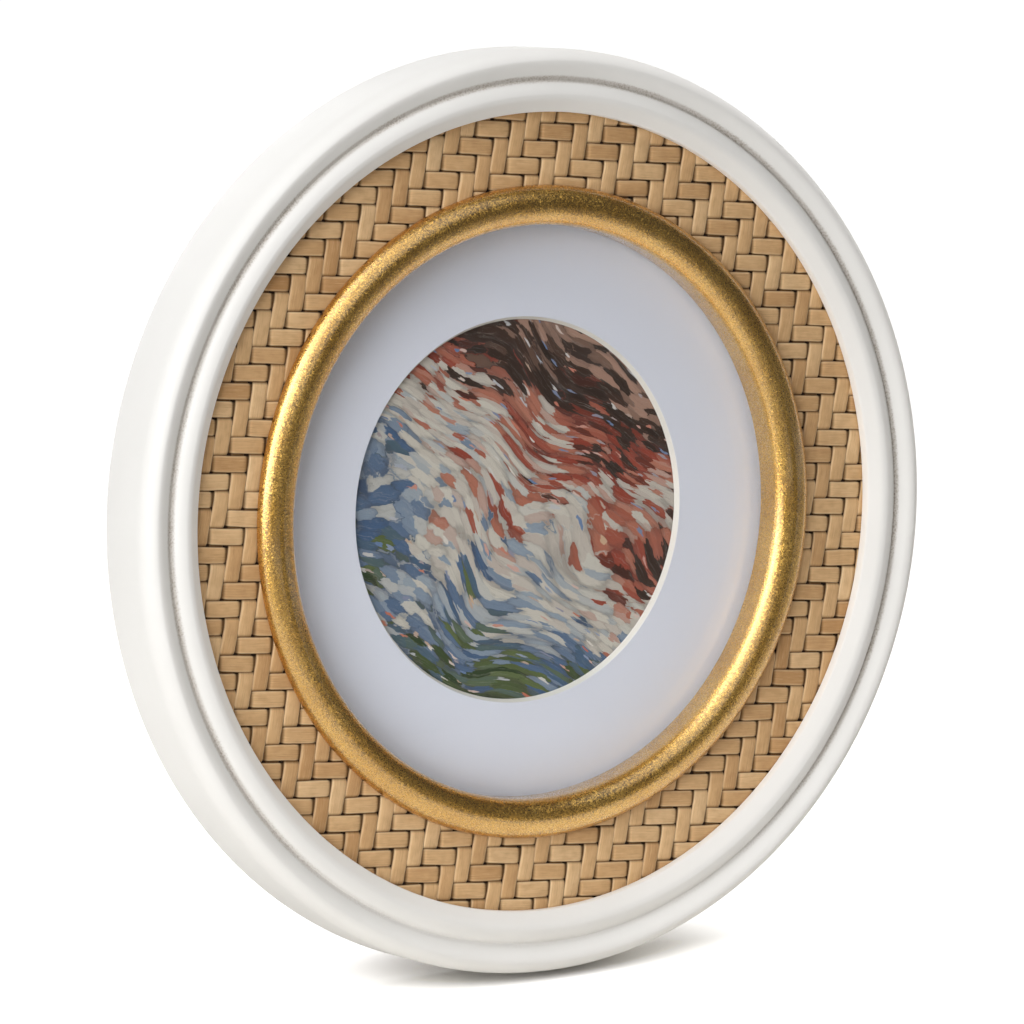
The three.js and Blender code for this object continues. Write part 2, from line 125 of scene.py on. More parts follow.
# A strip's cross-section, as shares of its half width: over its top, and the corner of its underside
TOP_SHARES = (-1, -0.95, -0.86, -0.7, -0.4, 0, 0.4, 0.7, 0.86, 0.95, 1)
UNDER_SHARE = 0.9
DIVE_SHARES = (-1, -0.66, -0.33, 0, 0.33, 0.66, 1)

# How the strips waver: pace along a strip, step from strip to strip, and layer of the noise
WANDER_NOISE = (0.11, 3.7, 0.5)
SWELL_NOISE = (0.16, 5.3, 9.5)
TILT_NOISE = (0.2, 2.9, 4.5)

# Print: the daubs' size and slant, and the height over which the bands of paint run
DAUB_LENGTH = 6.5
DAUB_WIDTH = 1.7
DAUB_SLANT = math.radians(-34)
BAND_SPAN = 60

# Turn buttons and screws
BUTTON_COUNT = 4
BUTTON_RADIUS = 84.0
BUTTON_WIDTH = 9.0
BUTTON_REACH = 14.0
BUTTON_THICKNESS = 1.0
FIT = 0.3
SCREW = {"shank": 1.5, "length": 9.0, "head": 3.3, "height": 1.5, "recess": 0.9}
SCREW_TURN = 0.9

# Fasteners: the flat of the point as a share of the shank, and the cross as shares of the head
POINT_SHARE = 0.5
CROSS_HALF = 0.1
CROSS_REACH = 0.58
CROSS_SLOPE = 0.06

# Easel hinge and leg
LEG_OPENING = math.radians(16)
HINGE_HEIGHT = 38.0
HINGE_WIDTH = 26.0
MIDDLE_KNUCKLE = 10.0
PIN_RADIUS = 1.0
BARREL_RADIUS = 2.4
LEAF_THICKNESS = 0.9
FIXED_LEAF_LENGTH = 16.0
MOVING_LEAF_LENGTH = 24.0
RIVET_SPACING = 17.0
RIVET_EDGE = 5.0
RIVET = {"shank": 1.3, "head": 2.5, "height": 0.9}
LEAF_CORNER = 2.0
LEG_THICKNESS = 3.0
LEG_TOP_WIDTH = 30.0
LEG_FOOT_WIDTH = 54.0
LEG_CORNER = 9.0
LEG_TOP_CORNER = 1.5
NOTCH_RADIUS = 8.0
HINGE_BACK = BARREL_RADIUS + FIT - BACKING_BACK
KNUCKLE_ROOM = BARREL_RADIUS + FIT
LEAF_INSIDE = BARREL_RADIUS - LEAF_THICKNESS

# Sawtooth hanger
HANGER_WIDTH = 46.0
HANGER_HEIGHT = 9.0
HANGER_THICKNESS = 0.9
HANGER_FOOT = 9.0
HANGER_STEP = 1.8
HANGER_BEND = 2.0
BEND_CUTS = (0, 0.25, 0.5, 0.75, 1)
TOOTH_PITCH = 3.0
TOOTH_DEPTH = 2.4
HANGER_Z = (BORE_RADIUS + RABBET_RADIUS - FIT) / 2 + FIT / 2
NAIL = {"shank": 0.9, "length": 9.0, "head": 2.1, "height": 0.7}

# Fineness of round shapes
RING_SEGMENTS = 360
SMALL_SEGMENTS = 64
ARC_STEPS = 14

# Camera: the photograph's view of the centre of the lip, on a 1024 pixel square
IMAGE_SIDE = 1024
VIEW_AZIMUTH = -33.8
VIEW_ELEVATION = 13.34
VIEW_ROLL = math.radians(3)
VIEW_DISTANCE = 1634.0
PIXELS_PER_MM = 4.044
LIP_CENTRE_PIXEL = (544.1, 513.4)
SENSOR = 36.0

# Light: (azimuth, elevation, distance, size, power, tint) of each lamp, in degrees, metres and watts.
# The lamps only light the object, apart from those that metal and gloss mirror too.
LAMPS = {
    "key": (-60, 14, 1.2, 0.85, 9.4, (1, 1, 1)),
    "upper": (-60, 40, 1.2, 0.85, 3.9, (1, 1, 1)),
    "top": (0, 86, 1.2, 0.85, 4.9, (1, 0.99, 0.98)),
    "right": (95, 28, 1.2, 0.85, 7.8, (1, 0.98, 0.96)),
    "back": (178, 12, 1.3, 0.8, 4.5, (1, 1, 1)),
}
MIRRORED_LAMPS = ("back",)
SKY_STRENGTH = 0.05

# What metal and gloss mirror over the front: a dark studio with soft spots, each with its azimuth,
# elevation, strength, and the angles within which it is full and beyond which it is gone
SPOTS = {
    "softbox": (-85, 30, 2.4, 24, 60),
    "core": (-80, 28, 2.4, 4, 32),
    "overhead": (-6, 50, 1.0, 14, 38),
}
STUDIO_GLOW = 0.07
STUDIO_RADIUS = 2.0
STUDIO_REAR = 0.3
STUDIO_FINENESS = 5

# Table: a cloth that is pale near the frame and dim further off, lifted to white where it is seen,
# and where it is mirrored from the left; the lift stops at the frame's foot, where the shadow lies
FLOOR_SIDE = 8.0
NEAR_CLOTH = (0.9, 0.88, 0.84, 1)
FAR_CLOTH = (0.2, 0.19, 0.18, 1)
TABLE_FADE = (0.24, 0.55)
MIRRORED_LIFT = (0.12, 1.0)
MIRRORED_WAY = (-1.0, 1.5, 0.0)
MIRRORED_REACH = (0.05, 0.35)
CONTACT_REACH = 0.03
CONTACT_LIGHT = (-0.5, -0.75, 0.45)
CONTACT_RAMP = (0.52, 0.94)
CONTACT_SAMPLES = 16
WHITE = (1, 1, 1, 1)


def leaning_place():
    """The matrix from the upright frame to where it leans in the row frame, and the angle of lean."""
    turn = next(joint for joint in frame["joints"] if joint["name"] == "button_1_turn")
    back = Vector(turn["axis"]).normalized()
    lean = math.atan2(-back.z, back.y)
    low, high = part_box("core_ring")
    centre = (low + high) / 2 + back * (CORE_THICKNESS / 2 * MM)
    return Matrix.Translation(centre) @ Matrix.Rotation(-lean, 4, "X"), lean


FRAME_PLACE, LEAN = leaning_place()


def moved(x, y, z):
    """A translation in millimetres."""
    return Matrix.Translation(Vector((x, y, z)) * MM)


HINGE_PLACE = FRAME_PLACE @ moved(0, HINGE_BACK, HINGE_HEIGHT)
EASEL_PLACE = HINGE_PLACE @ Matrix.Rotation(LEG_OPENING, 4, "X")


# Node helpers

def add(tree, kind, inputs=None, **settings):
    """Adds a shader node, sets its properties, and feeds its inputs with values or other outputs."""
    made = tree.nodes.new("ShaderNode" + kind)
    for name, value in settings.items():
        setattr(made, name, value)
    for key, value in (inputs or {}).items():
        if isinstance(value, bpy.types.NodeSocket):
            tree.links.new(value, made.inputs[key])
        else:
            made.inputs[key].default_value = value
    return made


def new_material(name, **sockets):
    """A Principled material; underscores in the socket names stand for spaces."""
    material = bpy.data.materials.new(name)
    material.use_nodes = True
    tree = material.node_tree
    shader = tree.nodes["Principled BSDF"]
    for socket, value in sockets.items():
        shader.inputs[socket.replace("_", " ")].default_value = value
    return material, tree, shader


def bare_material(name):
    """A material without a shader, for those that surface() then gives one."""
    material, tree, shader = new_material(name)
    tree.nodes.remove(shader)
    return material, tree


def surface(tree, shader):
    """Makes a shader the material's surface."""
    tree.links.new(shader.outputs[0], tree.nodes["Material Output"].inputs["Surface"])


def feed(tree, shader, **outputs):
    """Links outputs to the sockets of a shader; underscores stand for spaces."""
    for socket, output in outputs.items():
        tree.links.new(output, shader.inputs[socket.replace("_", " ")])


def local_place(tree):
    return add(tree, "TexCoord").outputs["Object"]


def attribute(tree, name, output):
    return add(tree, "Attribute", attribute_name=name).outputs[output]


def calc(tree, operation, first, second=0.0):
    return add(tree, "Math", {0: first, 1: second}, operation=operation).outputs["Value"]


def vector_calc(tree, operation, first, second=(0, 0, 0)):
    made = add(tree, "VectorMath", {0: first, 1: second}, operation=operation)
    return made.outputs["Value" if operation in ("LENGTH", "DOT_PRODUCT") else "Vector"]


def scaled(tree, place, amounts):
    return vector_calc(tree, "MULTIPLY", place, amounts)


def axis_of(tree, place, axis):
    return add(tree, "SeparateXYZ", {0: place}).outputs[axis]


def noise_at(tree, place, scale, detail=2.0, roughness=0.5):
    inputs = {"Vector": place, "Scale": scale, "Detail": detail, "Roughness": roughness}
    return add(tree, "TexNoise", inputs).outputs["Fac"]


def remap(tree, value, start, end, low, high):
    """Moves a value from start and end to low and high, smoothly, and holds it outside them."""
    inputs = {"Value": value, "From Min": start, "From Max": end, "To Min": low, "To Max": high}
    return add(tree, "MapRange", inputs, interpolation_type="SMOOTHSTEP").outputs["Result"]


def mix(tree, share, first, second):
    inputs = {"Factor": share, 6: first, 7: second}
    return add(tree, "Mix", inputs, data_type="RGBA").outputs[2]


def ramp(tree, value, stops):
    """A colour ramp with stops of (position, colour)."""
    made = add(tree, "ValToRGB", {"Fac": value})
    elements = made.color_ramp.elements
    while len(elements) < len(stops):
        elements.new(0.5)
    for element, (position, shade) in zip(elements, stops):
        element.position = position
        element.color = (*shade, 1)
    return made.outputs["Color"]


def swing(tree, colours, reach):
    """Turns random colours into offsets to either side of zero."""
    centred = vector_calc(tree, "SUBTRACT", colours, (0.5, 0.5, 0.5))
    return scaled(tree, centred, reach)


def bump(tree, height, distance, under=None):
    """A bump whose full height is a distance in millimetres, over another bump if one is given."""
    inputs = {"Height": height, "Distance": distance * MM, "Strength": 1.0}
    if under is not None:
        inputs["Normal"] = under
    return add(tree, "Bump", inputs).outputs["Normal"]


def colour(red, green, blue):
    return (red, green, blue, 1)


def radius_in_frame(tree, place):
    """Distance from the rings' axis, in millimetres."""
    flat = scaled(tree, place, (1 / MM, 0, 1 / MM))
    return vector_calc(tree, "LENGTH", flat)


def round_the_ring(tree, place, turns, across):
    """Coordinates that change slowly round the ring and quickly across it, with no seam."""
    flat = scaled(tree, place, (1, 0, 1))
    direction = vector_calc(tree, "SCALE", vector_calc(tree, "NORMALIZE", flat))
    direction.node.inputs["Scale"].default_value = turns
    crosswise = scaled(tree, place, (0, across, 0))
    outwards = calc(tree, "MULTIPLY", radius_in_frame(tree, place), across * MM)
    outwards = add(tree, "CombineXYZ", {"Y": outwards})
    total = vector_calc(tree, "ADD", direction, crosswise)
    return vector_calc(tree, "ADD", total, outwards.outputs["Vector"])


# Materials

def white_paint():
    """Satin white paint, brushed round the ring, with grey-brown specks and painted shade in the groove,
    which fade towards the bottom, where the groove is lit.
    """
    material, tree, shader = new_material("white_paint", Specular_IOR_Level=0.14)
    place = local_place(tree)
    radius = radius_in_frame(tree, place)
    from_groove = calc(tree, "ABSOLUTE", calc(tree, "SUBTRACT", radius, NOSE_START_RADIUS))
    specks = remap(tree, noise_at(tree, place, 2200, 4, 0.65), 0.46, 0.62, 0, 0.42)
    drift = remap(tree, noise_at(tree, place, 60, 3), 0.38, 0.62, 0.3, 1)
    height = calc(tree, "DIVIDE", axis_of(tree, place, "Z"), MM)
    # Painted shade: the groove's darkening and specks fade towards the bottom, where light reaches the
    # groove.
    wear_and_lit_bottom = remap(tree, height, -GROOVE_RADIUS, -GROOVE_RADIUS / 2, 0.12, 1)
    # Painted shade: a smooth grey-brown darkening along the groove's crease, with the specks added to it.
    groove_shade_and_specks = remap(tree, from_groove, 0.3, 1.3, 0.45, 0)
    groove_shade_and_specks = calc(tree, "ADD", groove_shade_and_specks, calc(tree, "MULTIPLY", specks, drift))
    groove_shade_and_specks = calc(tree, "MULTIPLY", groove_shade_and_specks, remap(tree, from_groove, 0.5, 1.3, 1, 0))
    groove_shade_and_specks = calc(tree, "MULTIPLY", groove_shade_and_specks, wear_and_lit_bottom)
    cloud = remap(tree, noise_at(tree, place, 28, 3), 0.3, 0.7, 0, 1)
    paint = mix(tree, cloud, colour(0.87, 0.86, 0.835), colour(0.9, 0.89, 0.865))
    # The grey-brown of the groove's painted shade and its specks.
    paint = mix(tree, groove_shade_and_specks, paint, colour(0.36, 0.3, 0.24))
    strokes = noise_at(tree, round_the_ring(tree, place, 9, 900), 1.0, 3, 0.6)
    peel = noise_at(tree, place, 700, 2)
    normal = bump(tree, strokes, 0.02, bump(tree, peel, 0.012))
    gloss = remap(tree, strokes, 0.3, 0.7, 0.38, 0.5)
    feed(tree, shader, Base_Color=paint, Roughness=gloss, Normal=normal)
    return material


def gold_leaf():
    """Gilded wood: metal leaf on a fine granular skin, whose grains each face a little another way."""
    material, tree, shader = new_material("gold_leaf", Metallic=1.0, Coat_Weight=1.0, Coat_Roughness=0.16,
                                          Coat_IOR=1.85)
    place = local_place(tree)
    grain = noise_at(tree, place, 2900, 2, 0.6)
    swell = noise_at(tree, place, 420, 2)
    patches = remap(tree, noise_at(tree, place, 75, 4), 0.35, 0.65, 0, 1)
    leaf = mix(tree, patches, colour(0.83, 0.505, 0.115), colour(0.73, 0.41, 0.075))
    pits = remap(tree, grain, 0.36, 0.5, 0.55, 0)
    leaf = mix(tree, pits, leaf, colour(0.3, 0.14, 0.025))
    flakes = add(tree, "TexVoronoi", {"Vector": place, "Scale": 3600.0}).outputs["Color"]
    shade = axis_of(tree, flakes, "X")
    leaf = mix(tree, remap(tree, shade, 0.2, 1, 0, 0.6), leaf, colour(0.52, 0.27, 0.045))
    gloss = remap(tree, grain, 0.3, 0.7, 0.34, 0.24)
    tilt = swing(tree, flakes, (0.3, 0.3, 0.3))
    facing = vector_calc(tree, "ADD", add(tree, "NewGeometry").outputs["Normal"], tilt)
    facing = vector_calc(tree, "NORMALIZE", facing)
    normal = bump(tree, grain, 0.06, bump(tree, swell, 0.03, facing))
    feed(tree, shader, Base_Color=leaf, Roughness=gloss, Normal=normal)
    return material


def split_cane():
    """Split cane: fibres along each strip, a painted pale highlight along its edges, painted shade in the
    gaps and where it dives under, and strips of several tones.
    """
    material, tree, shader = new_material("split_cane", Specular_IOR_Level=0.1)
    strip = attribute(tree, "strip", "Vector")
    tone = attribute(tree, "tone", "Fac")
    rise = attribute(tree, "rise", "Fac")
    fibres = noise_at(tree, scaled(tree, strip, (0.16, 7.5, 31.0)), 1.0, 5, 0.62)
    blotches = noise_at(tree, scaled(tree, strip, (0.32, 0.9, 17.0)), 1.0, 3)
    side = calc(tree, "ABSOLUTE", axis_of(tree, strip, "Y"))
    cane = ramp(tree, tone, (
        (0.0, (0.52, 0.29, 0.125)),
        (0.35, (0.66, 0.41, 0.20)),
        (0.7, (0.74, 0.485, 0.25)),
        (1.0, (0.80, 0.555, 0.31)),
    ))
    cane = mix(tree, remap(tree, blotches, 0.35, 0.7, 0, 0.22), cane, colour(0.38, 0.19, 0.075))
    cane = mix(tree, remap(tree, fibres, 0.5, 0.72, 0, 0.3), cane, colour(0.29, 0.14, 0.05))
    cane = mix(tree, remap(tree, fibres, 0.46, 0.3, 0, 0.35), cane, colour(0.84, 0.62, 0.37))
    # Painted highlight: a pale band along both edges of each strip.
    cane = mix(tree, remap(tree, side, 0.66, 0.86, 0, 0.3), cane, colour(0.88, 0.68, 0.43))
    # Painted shade: near-black at the very edges of each strip, in the gaps between strips.
    cane = mix(tree, remap(tree, side, 0.88, 0.99, 0, 0.85), cane, colour(0.09, 0.04, 0.012))
    # Painted shade: near-black where a strip dives under its neighbours.
    cane = mix(tree, remap(tree, rise, 0.92, 0.3, 0, 0.85), cane, colour(0.09, 0.04, 0.012))
    gloss = remap(tree, fibres, 0.3, 0.7, 0.42, 0.6)
    normal = bump(tree, fibres, 0.035)
    feed(tree, shader, Base_Color=cane, Roughness=gloss, Normal=normal)
    return material


def gap_shade_sheet():
    """A near-black sheet under the weave: painted shade that shows in the gaps between the strips, with
    faint fibres.
    """
    material, tree, shader = new_material("gap_shade_sheet", Roughness=0.9)
    fibres = noise_at(tree, local_place(tree), 900, 4)
    gap_shade = mix(tree, fibres, colour(0.012, 0.007, 0.004), colour(0.05, 0.026, 0.012))
    feed(tree, shader, Base_Color=gap_shade)
    return material


def mat_paper():
    """Pale mat board with an upright paper grain and a cream core at its bevel."""
    material, tree, shader = new_material("mat_paper", Roughness=0.85, Specular_IOR_Level=0.25)
    place = local_place(tree)
    radius = radius_in_frame(tree, place)
    grain = noise_at(tree, scaled(tree, place, (2600, 700, 90)), 1.0, 4, 0.6)
    tooth = noise_at(tree, place, 3000, 2)
    paper = mix(tree, grain, colour(0.84, 0.86, 0.97), colour(0.88, 0.9, 0.995))
    bevel = remap(tree, radius, WINDOW_RADIUS + MAT_BEVEL - 0.05, WINDOW_RADIUS + MAT_BEVEL, 1, 0)
    core = mix(tree, tooth, colour(0.86, 0.83, 0.76), colour(0.93, 0.91, 0.86))
    normal = bump(tree, grain, 0.018, bump(tree, tooth, 0.01))
    feed(tree, shader, Base_Color=mix(tree, bevel, paper, core), Normal=normal)
    return material


def brush_field(tree):
    """Coordinates that run along curved and frayed brush daubs, one unit to a daub."""
    place = scaled(tree, local_place(tree), (1 / MM, 0, 1 / MM))
    bend = add(tree, "TexNoise", {"Vector": place, "Scale": 0.024, "Detail": 1.0}).outputs["Color"]
    flowing = vector_calc(tree, "ADD", place, swing(tree, bend, (30, 0, 30)))
    slanted = {"Vector": flowing, "Angle": DAUB_SLANT}
    turned_place = add(tree, "VectorRotate", slanted, rotation_type="Y_AXIS").outputs["Vector"]
    daubs = scaled(tree, turned_place, (1 / DAUB_LENGTH, 1, 1 / DAUB_WIDTH))
    fray = add(tree, "TexNoise", {"Vector": daubs, "Scale": 2.2, "Detail": 4.0}).outputs["Color"]
    return vector_calc(tree, "ADD", daubs, swing(tree, fray, (0.9, 0, 0.9)))


def daub_colours(tree, cells):
    """A paint for each daub, from bands across the sheet that drift and mix a little."""
    middle = cells.outputs["Position"]
    chance = add(tree, "SeparateColor", {0: cells.outputs["Color"]}).outputs["Red"]
    drift = noise_at(tree, scaled(tree, middle, (0.24, 1, 0.085)), 1.0, 2)
    across = axis_of(tree, middle, "Z")
    band = calc(tree, "ADD", calc(tree, "MULTIPLY", across, 1 / BAND_SPAN), 0.5)
    band = calc(tree, "ADD", band, remap(tree, drift, 0.25, 0.75, -0.2, 0.2))
    band = calc(tree, "ADD", band, remap(tree, chance, 0, 1, -0.08, 0.08))
    return ramp(tree, band, (
        (0.0, (0.035, 0.06, 0.022)),
        (0.12, (0.13, 0.17, 0.06)),
        (0.22, (0.07, 0.13, 0.25)),
        (0.33, (0.30, 0.37, 0.46)),
        (0.43, (0.70, 0.66, 0.58)),
        (0.55, (0.60, 0.54, 0.48)),
        (0.61, (0.52, 0.20, 0.13)),
        (0.70, (0.34, 0.06, 0.035)),
        (0.76, (0.03, 0.016, 0.01)),
        (0.92, (0.06, 0.03, 0.02)),
        (1.0, (0.45, 0.27, 0.2)),
    ))


def small_touches(tree, field):
    """Where a few small dabs lie on top, and their colours."""
    dabs = add(tree, "TexVoronoi", {"Vector": field, "Scale": 1.7, "Randomness": 1.0})
    pick = add(tree, "SeparateColor", {0: dabs.outputs["Color"]})
    chosen = calc(tree, "GREATER_THAN", pick.outputs["Green"], 0.9)
    share = calc(tree, "MULTIPLY", remap(tree, dabs.outputs["Distance"], 0.3, 0.4, 1, 0), chosen)
    return share, ramp(tree, pick.outputs["Red"], (
        (0.0, (0.62, 0.16, 0.08)),
        (0.35, (0.78, 0.74, 0.68)),
        (0.65, (0.16, 0.25, 0.45)),
        (1.0, (0.70, 0.48, 0.30)),
    ))


def painted_print():
    """A print of a loose abstract painting: curved daubs in bands of green, blue, cream, red and brown."""
    material, tree, shader = new_material("painted_print", Specular_IOR_Level=0.3)
    field = brush_field(tree)
    sockets = {"Vector": field, "Scale": 1.0, "Smoothness": 0.12, "Randomness": 0.9}
    cells = add(tree, "TexVoronoi", sockets, feature="SMOOTH_F1")
    paint = daub_colours(tree, cells)
    bristles = noise_at(tree, scaled(tree, field, (0.6, 1, 7.5)), 1.0, 4, 0.65)
    paint = mix(tree, remap(tree, bristles, 0.52, 0.75, 0, 0.3), paint, colour(0.68, 0.64, 0.58))
    paint = mix(tree, remap(tree, bristles, 0.45, 0.25, 0, 0.45), paint, colour(0.04, 0.03, 0.03))
    rim = remap(tree, cells.outputs["Distance"], 0.45, 0.8, 0, 0.35)
    paint = mix(tree, rim, paint, colour(0.07, 0.055, 0.05))
    share, accent = small_touches(tree, field)
    paint = mix(tree, share, paint, accent)
    gloss = remap(tree, bristles, 0.3, 0.7, 0.35, 0.6)
    feed(tree, shader, Base_Color=paint, Roughness=gloss, Normal=bump(tree, bristles, 0.03))
    return material


def window_glass():
    """Thin clear glass: a faint mirror over what lies behind it."""
    material, tree = bare_material("window_glass")
    smudge = remap(tree, noise_at(tree, local_place(tree), 35, 4), 0.35, 0.7, 0.0, 0.06)
    mirror = add(tree, "BsdfGlossy", {"Color": WHITE, "Roughness": smudge})
    clear = add(tree, "BsdfTransparent", {"Color": colour(0.99, 0.995, 0.995)})
    slant = calc(tree, "POWER", add(tree, "LayerWeight", {"Blend": 0.5}).outputs["Facing"], 5.0)
    share = calc(tree, "ADD", calc(tree, "MULTIPLY", slant, 0.96), 0.04)
    lit_through = add(tree, "LightPath").outputs["Is Shadow Ray"]
    share = calc(tree, "MULTIPLY", share, calc(tree, "SUBTRACT", 1.0, lit_through))
    surface(tree, add(tree, "MixShader", {0: share, 1: clear.outputs[0], 2: mirror.outputs[0]}))
    return material


def fibreboard():
    """Raw fibreboard: pressed brown fibres."""
    material, tree, shader = new_material("fibreboard", Roughness=0.9, Specular_IOR_Level=0.2)
    place = local_place(tree)
    fibres = noise_at(tree, place, 1300, 6, 0.7)
    clouds = noise_at(tree, place, 60, 3)
    board = mix(tree, clouds, colour(0.33, 0.21, 0.115), colour(0.42, 0.285, 0.165))
    board = mix(tree, remap(tree, fibres, 0.5, 0.68, 0, 0.6), board, colour(0.19, 0.11, 0.055))
    board = mix(tree, remap(tree, fibres, 0.42, 0.3, 0, 0.5), board, colour(0.56, 0.42, 0.28))
    feed(tree, shader, Base_Color=board, Normal=bump(tree, fibres, 0.05))
    return material


def black_paper():
    """Board faced with embossed black paper, worn a little in patches."""
    material, tree, shader = new_material("black_paper", Specular_IOR_Level=0.4)
    place = local_place(tree)
    cells = add(tree, "TexVoronoi", {"Vector": place, "Scale": 1150.0}).outputs["Distance"]
    # Lighter, rougher patches where the paper is worn.
    wear_and_lit_bottom = noise_at(tree, place, 45, 5, 0.65)
    hollow = remap(tree, cells, 0.1, 0.6, 0, 1)
    paper = mix(tree, hollow, colour(0.030, 0.028, 0.027), colour(0.014, 0.013, 0.013))
    paper = mix(tree, remap(tree, wear_and_lit_bottom, 0.52, 0.75, 0, 0.5), paper, colour(0.062, 0.058, 0.054))
    gloss = remap(tree, wear_and_lit_bottom, 0.3, 0.7, 0.5, 0.72)
    feed(tree, shader, Base_Color=paper, Roughness=gloss, Normal=bump(tree, cells, -0.06))
    return material


def grey_card():
    """Recycled grey card with mixed fibres."""
    material, tree, shader = new_material("grey_card", Roughness=0.9)
    place = local_place(tree)
    fibres = noise_at(tree, place, 1100, 5, 0.7)
    card = mix(tree, fibres, colour(0.30, 0.275, 0.235), colour(0.44, 0.41, 0.36))
    feed(tree, shader, Base_Color=card, Normal=bump(tree, fibres, 0.03))
    return material


def zinc_steel():
    """Zinc-plated steel: faint spangle, drawn scratches and duller spots."""
    material, tree, shader = new_material("zinc_steel", Metallic=1.0)
    place = local_place(tree)
    spangle = add(tree, "TexVoronoi", {"Vector": place, "Scale": 420.0}).outputs["Color"]
    scratches = noise_at(tree, scaled(tree, place, (500, 900, 9000)), 1.0, 3)
    dull = noise_at(tree, place, 240, 5, 0.65)
    steel = mix(tree, spangle, colour(0.54, 0.54, 0.53), colour(0.66, 0.66, 0.64))
    steel = mix(tree, remap(tree, dull, 0.52, 0.72, 0, 0.6), steel, colour(0.40, 0.385, 0.35))
    gloss = remap(tree, dull, 0.3, 0.7, 0.27, 0.5)
    feed(tree, shader, Base_Color=steel, Roughness=gloss, Normal=bump(tree, scratches, 0.008))
    return material


# Shapes, in millimetres

def arc(centre, semi_x, semi_y, start, end, steps=ARC_STEPS):
    """Points round an ellipse, from one angle to another, in degrees."""
    angles = [math.radians(start + (end - start) * i / steps) for i in range(steps + 1)]
    return [(centre[0] + semi_x * math.cos(a), centre[1] + semi_y * math.sin(a)) for a in angles]


def rounded(corner, size, start, end):
    """A rounded corner of a section, as an arc whose angles are given in degrees."""
    middle = math.radians((start + end) / 2)
    centre = (corner[0] - size * math.copysign(1, math.cos(middle)),
              corner[1] - size * math.copysign(1, math.sin(middle)))
    return arc(centre, size, size, start, end, 4)


def smoothed(share):
    """An eased share between 0 and 1."""
    share = min(max(share, 0), 1)
    return share * share * (3 - 2 * share)


def shape_from(verts, faces):
    shape = bmesh.new()
    made = [shape.verts.new(v) for v in verts]
    for face in faces:
        shape.faces.new([made[i] for i in face])
    return shape


def turned(section, segments=RING_SEGMENTS, change=None):
    """A closed section of (radius, height over the back plane) turned round the Y axis."""
    verts, faces = [], []
    count = len(section)
    for step in range(segments):
        angle = 2 * math.pi * step / segments
        for radius, height in section:
            x, z = radius * math.cos(angle), radius * math.sin(angle)
            verts.append((x, -height - (change(x, z, height) if change else 0), z))
    for step in range(segments):
        here, there = step * count, (step + 1) % segments * count
        for i in range(count):
            j = (i + 1) % count
            faces.append((here + i, here + j, there + j, there + i))
    shape = shape_from(verts, faces)
    bmesh.ops.remove_doubles(shape, verts=shape.verts, dist=1e-5)
    return shape


def plate(outline, back, thickness, edge=PLATE_ROUND):
    """A flat plate with rounded edges, from an outline of (x, z) and the height of its rear face."""
    shape = bmesh.new()
    face = shape.faces.new([shape.verts.new((x, -back, z)) for x, z in outline])
    grown = bmesh.ops.extrude_face_region(shape, geom=[face])["geom"]
    front = [v for v in grown if isinstance(v, bmesh.types.BMVert)]
    bmesh.ops.translate(shape, vec=(0, -thickness, 0), verts=front)
    bmesh.ops.recalc_face_normals(shape, faces=shape.faces)
    round_edges(shape, edge)
    return shape


def all_of(shape):
    return shape.verts[:] + shape.edges[:] + shape.faces[:]


def round_edges(shape, size):
    sharp = [e for e in shape.edges if len(e.link_faces) == 2 and e.calc_face_angle() > SHARP_EDGE]
    bmesh.ops.bevel(shape, geom=sharp, offset=size, segments=2, profile=0.5, affect="EDGES")


def rod(radius, length, middle):
    """A round rod along X with rounded ends."""
    half = [*rounded((radius, length / 2), PLATE_ROUND, 0, 90), (0, length / 2)]
    section = half + [(r, -h) for r, h in reversed(half)]
    shape = turned(section, SMALL_SEGMENTS)
    bmesh.ops.rotate(shape, verts=shape.verts, matrix=Matrix.Rotation(math.pi / 2, 3, "Z"))
    bmesh.ops.translate(shape, vec=(middle, 0, 0), verts=shape.verts)
    return shape


def joined(first, *others):
    """Puts several shapes into one."""
    for other in others:
        spare = bpy.data.meshes.new("spare")
        other.to_mesh(spare)
        other.free()
        first.from_mesh(spare)
        bpy.data.meshes.remove(spare)
    return first


def fastener(shank, length, head, height, recess=0.0):
    """A screw, nail or rivet along Y, whose domed head faces +Y over y = 0; screws have a cross recess."""
    dome = [(r, -h) for r, h in arc((0, 0), head, height, 0, 90)]
    section = [(0, length), (shank * POINT_SHARE, length), (shank, length - shank), (shank, 0), *dome]
    slope = head * CROSS_SLOPE

    def within(value, limit):
        return smoothed((head * limit + slope - abs(value)) / (2 * slope))

    def cross(x, z, height_here):
        if height_here >= 0:
            return 0
        upright = within(x, CROSS_HALF) * within(z, CROSS_REACH)
        level = within(z, CROSS_HALF) * within(x, CROSS_REACH)
        return recess * max(upright, level)

    return turned(section, SMALL_SEGMENTS, cross if recess else None)


def new_object(name, data):
    made = bpy.data.objects.new(name, data)
    bpy.context.scene.collection.objects.link(made)
    return made


def add_mesh(name, mesh, place, body, material, slot, *nodes):
    """Puts a mesh in its place on a body, with its material, and hides the CAD nodes it stands for; its
    slot is not used.
    """
    mesh.materials.append(material)
    mesh.shade_smooth()
    mesh.set_sharp_from_angle(angle=SHARP_EDGE)
    piece = new_object(name, mesh)
    piece.matrix_world = place
    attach(piece, body)
    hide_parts(*nodes)


def add_piece(name, shape, place, body, material, slot, *nodes):
    """Turns a shape in millimetres into a piece."""
    bmesh.ops.recalc_face_normals(shape, faces=shape.faces)
    bmesh.ops.scale(shape, vec=(MM, MM, MM), verts=shape.verts)
    mesh = bpy.data.meshes.new(name)
    shape.to_mesh(mesh)
    shape.free()
    add_mesh(name, mesh, place, body, material, slot, *nodes)


